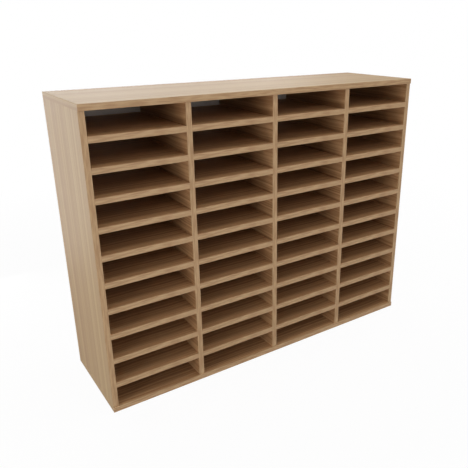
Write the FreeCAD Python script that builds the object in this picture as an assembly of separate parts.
# Pigeonhole mail sorter: an open-fronted cabinet with four columns of eleven flat compartments.
# Sides, dividers and shelves of faced board stand between a top and a bottom panel, a little behind
# their front edges. Every front edge is edged, and so are both ends of the top and bottom panels.
# Dowels join the boards, and a thin back panel is nailed into a rebate.
# Millimetres, +Z up, the open front faces -Y, the origin is the middle of the footprint on the floor.

import FreeCAD
import Part
import math
import os

Vec = FreeCAD.Vector

# Layout
COLUMNS = 4
ROWS = 11

# One compartment, clear inside, its depth from the shelf's front edge to the back panel
CELL_WIDTH = 287.0
CELL_HEIGHT = 67.0
CELL_DEPTH = 343.0

# Boards, and how far the top and bottom panels reach out in front of the others
BOARD_THICKNESS = 18.0
FRONT_REACH = 3.0

# Edging glued on the boards' open edges
EDGING_THICKNESS = 2.0
EDGING_ROUND = 0.8

# Back panel, let into a rebate round the rear of the carcass and a little below its rear edges
BACK_THICKNESS = 3.0
BACK_RECESS = 1.0
BACK_LAP = 10.0
BACK_CLEARANCE = 0.5

# Dowels
DOWEL_RADIUS = 4.0
DOWEL_CHAMFER = 1.0
DOWEL_CLEARANCE = 0.1
DOWEL_GLUE_GAP = 0.5
DOWEL_IN_EDGE = 21.0
FACE_SKIN = 6.0
CARCASS_DOWELS = 3
CARCASS_DOWEL_INSET = 42.0
SHELF_DOWELS = 2
SHELF_DOWEL_INSET = 64.0

# Flat-headed nails that hold the back panel
NAIL_RADIUS = 0.8
NAIL_HEAD_RADIUS = 2.5
NAIL_HEAD_THICKNESS = 0.7
NAIL_LENGTH = 20.0
NAIL_POINT = 2.0
NAIL_CLEARANCE = 0.1
NAILS_PER_UPRIGHT = 7
NAILS_PER_COLUMN = 2
NAIL_END_INSET = 40.0

# Overall sizes that follow
OVERALL_WIDTH = COLUMNS * CELL_WIDTH + (COLUMNS + 1) * BOARD_THICKNESS
OVERALL_DEPTH = FRONT_REACH + CELL_DEPTH + BACK_THICKNESS + BACK_RECESS
OVERALL_HEIGHT = ROWS * CELL_HEIGHT + (ROWS + 1) * BOARD_THICKNESS

# Planes that follow
PANEL_FRONT_Y = -OVERALL_DEPTH / 2
INNER_FRONT_Y = PANEL_FRONT_Y + FRONT_REACH
BACK_Y = INNER_FRONT_Y + CELL_DEPTH
BACK_REAR_Y = BACK_Y + BACK_THICKNESS
REAR_Y = OVERALL_DEPTH / 2
LEFT_X = -OVERALL_WIDTH / 2
RIGHT_X = OVERALL_WIDTH / 2
TOP_Z = OVERALL_HEIGHT
CEILING_Z = OVERALL_HEIGHT - BOARD_THICKNESS
FLOOR_Z = BOARD_THICKNESS


def upright_x(upright):
    """The left face of an upright, counted from the left side (0) to the right side (COLUMNS)."""
    return LEFT_X + upright * (BOARD_THICKNESS + CELL_WIDTH)


def shelf_z(level):
    """The underside of a shelf, counted up from the bottom panel (0)."""
    return level * (BOARD_THICKNESS + CELL_HEIGHT)


def spread(low, high, count):
    """Evenly spaced values from low to high."""
    return [low + (high - low) * step / (count - 1) for step in range(count)]


def block(x_span, y_span, z_span):
    """A rectangular solid between three (low, high) pairs."""
    corner = Vec(x_span[0], y_span[0], z_span[0])
    return Part.makeBox(x_span[1] - x_span[0], y_span[1] - y_span[0], z_span[1] - z_span[0], corner)


def rod(start, end, radius):
    """A plain cylinder between two points."""
    return Part.makeCylinder(radius, (end - start).Length, start, end - start)


def dowel(start, end):
    """A dowel with chamfered ends."""
    pin = rod(start, end, DOWEL_RADIUS)
    rims = [edge for edge in pin.Edges if isinstance(edge.Curve, Part.Circle)]
    return pin.makeChamfer(DOWEL_CHAMFER, rims)


def dowel_hole(start, end):
    """The drilled space for a dowel, with room for glue round it and at both ends."""
    reach = (end - start).normalize() * DOWEL_GLUE_GAP
    return rod(start - reach, end + reach, DOWEL_RADIUS + DOWEL_CLEARANCE)


def carcass_dowel_ends(upright, panel):
    """Both ends of each dowel between an upright and the top or bottom panel."""
    x = upright_x(upright) + BOARD_THICKNESS / 2
    if panel == "top":
        low = CEILING_Z - DOWEL_IN_EDGE
        high = TOP_Z - FACE_SKIN
    else:
        low = FACE_SKIN
        high = FLOOR_Z + DOWEL_IN_EDGE
    places = spread(INNER_FRONT_Y + CARCASS_DOWEL_INSET, BACK_Y - CARCASS_DOWEL_INSET, CARCASS_DOWELS)
    return [(Vec(x, y, low), Vec(x, y, high)) for y in places]


def shelf_dowel_ends(upright, level):
    """Both ends of each dowel that carries the shelves at one upright and level.

    A dowel goes right through a divider into the shelves on both sides of it, and stops inside
    an outer side.
    """
    low = upright_x(upright) - DOWEL_IN_EDGE
    high = upright_x(upright) + BOARD_THICKNESS + DOWEL_IN_EDGE
    if upright == 0:
        low = upright_x(upright) + FACE_SKIN
    if upright == COLUMNS:
        high = upright_x(upright) + BOARD_THICKNESS - FACE_SKIN
    z = shelf_z(level) + BOARD_THICKNESS / 2
    places = spread(INNER_FRONT_Y + SHELF_DOWEL_INSET, BACK_Y - SHELF_DOWEL_INSET, SHELF_DOWELS)
    return [(Vec(low, y, z), Vec(high, y, z)) for y in places]


def upright_nail_places(upright):
    """Where the back panel's nails enter an upright, on the panel's outer face."""
    x = upright_x(upright) + BOARD_THICKNESS / 2
    if upright == 0:
        x = upright_x(upright) + BOARD_THICKNESS - BACK_LAP / 2
    if upright == COLUMNS:
        x = upright_x(upright) + BACK_LAP / 2
    heights = spread(FLOOR_Z + NAIL_END_INSET, CEILING_Z - NAIL_END_INSET, NAILS_PER_UPRIGHT)
    return [Vec(x, BACK_REAR_Y, z) for z in heights]


def panel_nail_places(panel):
    """Where the back panel's nails enter the top or bottom panel, on the panel's outer face."""
    z = FLOOR_Z - BACK_LAP / 2
    if panel == "top":
        z = CEILING_Z + BACK_LAP / 2
    places = []
    for column in range(COLUMNS):
        low = upright_x(column) + BOARD_THICKNESS + NAIL_END_INSET
        high = upright_x(column + 1) - NAIL_END_INSET
        places += [Vec(x, BACK_REAR_Y, z) for x in spread(low, high, NAILS_PER_COLUMN)]
    return places


def back_nail_places():
    """Where every nail of the back panel sits."""
    places = [place for upright in range(COLUMNS + 1) for place in upright_nail_places(upright)]
    return places + panel_nail_places("top") + panel_nail_places("bottom")


def nail(place):
    """A flat-headed nail driven towards -Y, its head on the back panel's outer face."""
    inward = Vec(0, -1, 0)
    shank_length = NAIL_LENGTH - NAIL_POINT
    head = Part.makeCylinder(NAIL_HEAD_RADIUS, NAIL_HEAD_THICKNESS, place, -inward)
    shank = Part.makeCylinder(NAIL_RADIUS, shank_length, place, inward)
    point = Part.makeCone(NAIL_RADIUS, 0, NAIL_POINT, place + inward * shank_length, inward)
    return head.fuse([shank, point]).removeSplitter()


def nail_hole(place):
    """The hole that a nail makes through the back panel and into the board behind it."""
    depth = NAIL_LENGTH + NAIL_CLEARANCE
    return Part.makeCylinder(NAIL_RADIUS + NAIL_CLEARANCE, depth, place, Vec(0, -1, 0))


def back_rebate():
    """The space that the carcass boards leave for the back panel."""
    x_span = (LEFT_X + BOARD_THICKNESS - BACK_LAP, RIGHT_X - BOARD_THICKNESS + BACK_LAP)
    return block(x_span, (BACK_Y, REAR_Y), (FLOOR_Z - BACK_LAP, CEILING_Z + BACK_LAP))


def panel_z_span(panel):
    """The underside and upper face of the top or bottom panel."""
    return (CEILING_Z, TOP_Z) if panel == "top" else (0, FLOOR_Z)


def horizontal_panel(panel):
    """The top or bottom panel inside its edging, rebated and drilled."""
    x_span = (LEFT_X + EDGING_THICKNESS, RIGHT_X - EDGING_THICKNESS)
    board = block(x_span, (PANEL_FRONT_Y + EDGING_THICKNESS, REAR_Y), panel_z_span(panel))
    dowels = [ends for upright in range(COLUMNS + 1) for ends in carcass_dowel_ends(upright, panel)]
    holes = [dowel_hole(*ends) for ends in dowels]
    holes += [nail_hole(place) for place in panel_nail_places(panel)]
    return board.cut(back_rebate()).cut(Part.makeCompound(holes))


def upright_board(upright):
    """A side or a divider. The sides run on to the rear plane, and the dividers stop at the back panel."""
    is_side = upright in (0, COLUMNS)
    x = upright_x(upright)
    rear = REAR_Y if is_side else BACK_Y
    board = block((x, x + BOARD_THICKNESS), (INNER_FRONT_Y + EDGING_THICKNESS, rear), (FLOOR_Z, CEILING_Z))
    dowels = carcass_dowel_ends(upright, "top") + carcass_dowel_ends(upright, "bottom")
    for level in range(1, ROWS):
        dowels += shelf_dowel_ends(upright, level)
    holes = [dowel_hole(*ends) for ends in dowels]
    holes += [nail_hole(place) for place in upright_nail_places(upright)]
    if is_side:
        board = board.cut(back_rebate())
    return board.cut(Part.makeCompound(holes))


def shelf(column, level):
    """One shelf board, between two uprights, drilled at both ends."""
    x = upright_x(column) + BOARD_THICKNESS
    z = shelf_z(level)
    y_span = (INNER_FRONT_Y + EDGING_THICKNESS, BACK_Y)
    board = block((x, x + CELL_WIDTH), y_span, (z, z + BOARD_THICKNESS))
    dowels = shelf_dowel_ends(column, level) + shelf_dowel_ends(column + 1, level)
    return board.cut(Part.makeCompound([dowel_hole(*ends) for ends in dowels]))


def back_panel():
    """The thin back panel, smaller than its rebate by the clearance all round."""
    rebate = back_rebate().BoundBox
    x_span = (rebate.XMin + BACK_CLEARANCE, rebate.XMax - BACK_CLEARANCE)
    z_span = (rebate.ZMin + BACK_CLEARANCE, rebate.ZMax - BACK_CLEARANCE)
    holes = [nail_hole(place) for place in back_nail_places()]
    return block(x_span, (BACK_Y, BACK_REAR_Y), z_span).cut(Part.makeCompound(holes))


def edge_axis(edge):
    """The name of the axis that a straight edge runs along."""
    run = edge.lastVertex().Point - edge.firstVertex().Point
    return max("xyz", key=lambda name: abs(getattr(run, name)))


def rounded(strip, outer_plane, run):
    """Round a strip's edges on its outer face that run along one of the given directions.

    outer_plane is an axis name and where the outer face lies on it, and run lists axis names.
    """
    axis, place = outer_plane
    on_face = [edge for edge in strip.Edges if math.isclose(edge.CenterOfMass["xyz".index(axis)], place)]
    return strip.makeFillet(EDGING_ROUND, [edge for edge in on_face if edge_axis(edge) in run])


def front_strip(x_span, front, z_span, run):
    """A strip of edging on a front edge, its outer face at front."""
    return rounded(block(x_span, (front, front + EDGING_THICKNESS), z_span), ("y", front), run)


def panel_front_edging(panel):
    """The front edging of the top or bottom panel, over the ends of its end edging."""
    return front_strip((LEFT_X, RIGHT_X), PANEL_FRONT_Y, panel_z_span(panel), ("x", "z"))


def panel_end_edging(panel):
    """The edging on both ends of the top or bottom panel, flush with the sides' outer faces."""
    y_span = (PANEL_FRONT_Y + EDGING_THICKNESS, REAR_Y)
    left = block((LEFT_X, LEFT_X + EDGING_THICKNESS), y_span, panel_z_span(panel))
    right = block((RIGHT_X - EDGING_THICKNESS, RIGHT_X), y_span, panel_z_span(panel))
    strips = [rounded(left, ("x", LEFT_X), ("y",)), rounded(right, ("x", RIGHT_X), ("y",))]
    return Part.makeCompound(strips)


def upright_edging(uprights):
    """The front edging of some uprights."""
    spans = [(upright_x(upright), upright_x(upright) + BOARD_THICKNESS) for upright in uprights]
    strips = [front_strip(span, INNER_FRONT_Y, (FLOOR_Z, CEILING_Z), ("z",)) for span in spans]
    return Part.makeCompound(strips)


def shelf_edging():
    """The front edging of every shelf."""
    strips = []
    for column in range(COLUMNS):
        x = upright_x(column) + BOARD_THICKNESS
        for level in range(1, ROWS):
            z = shelf_z(level)
            strips.append(front_strip((x, x + CELL_WIDTH), INNER_FRONT_Y, (z, z + BOARD_THICKNESS), ("x",)))
    return Part.makeCompound(strips)


def carcass_dowels(panel):
    """Every dowel between the uprights and the top or bottom panel."""
    spans = [ends for upright in range(COLUMNS + 1) for ends in carcass_dowel_ends(upright, panel)]
    return Part.makeCompound([dowel(*ends) for ends in spans])


def shelf_dowels():
    """Every dowel that carries a shelf."""
    spans = []
    for upright in range(COLUMNS + 1):
        for level in range(1, ROWS):
            spans += shelf_dowel_ends(upright, level)
    return Part.makeCompound([dowel(*ends) for ends in spans])


def build_nodes():
    """Every node of the sorter, by name."""
    nodes = {
        "top_panel": horizontal_panel("top"),
        "bottom_panel": horizontal_panel("bottom"),
        "left_side": upright_board(0),
        "right_side": upright_board(COLUMNS),
        "back_panel": back_panel(),
        "top_front_edging": panel_front_edging("top"),
        "bottom_front_edging": panel_front_edging("bottom"),
        "top_end_edging": panel_end_edging("top"),
        "bottom_end_edging": panel_end_edging("bottom"),
        "side_edging": upright_edging((0, COLUMNS)),
        "divider_edging": upright_edging(range(1, COLUMNS)),
        "shelf_edging": shelf_edging(),
        "top_dowels": carcass_dowels("top"),
        "bottom_dowels": carcass_dowels("bottom"),
        "shelf_dowels": shelf_dowels(),
        "back_nails": Part.makeCompound([nail(place) for place in back_nail_places()]),
    }
    for upright in range(1, COLUMNS):
        nodes[f"divider_{upright}"] = upright_board(upright)
    for column in range(COLUMNS):
        for level in range(1, ROWS):
            nodes[f"shelf_column_{column + 1}_level_{level:02d}"] = shelf(column, level)
    return nodes


os.makedirs("parts", exist_ok=True)
for name, shape in build_nodes().items():
    shape.exportStep(f"parts/{name}.step")
    print(name, len(shape.Solids), "solids", round(shape.Volume / 1000, 1), "cm3")
print("overall", OVERALL_WIDTH, OVERALL_DEPTH, OVERALL_HEIGHT)
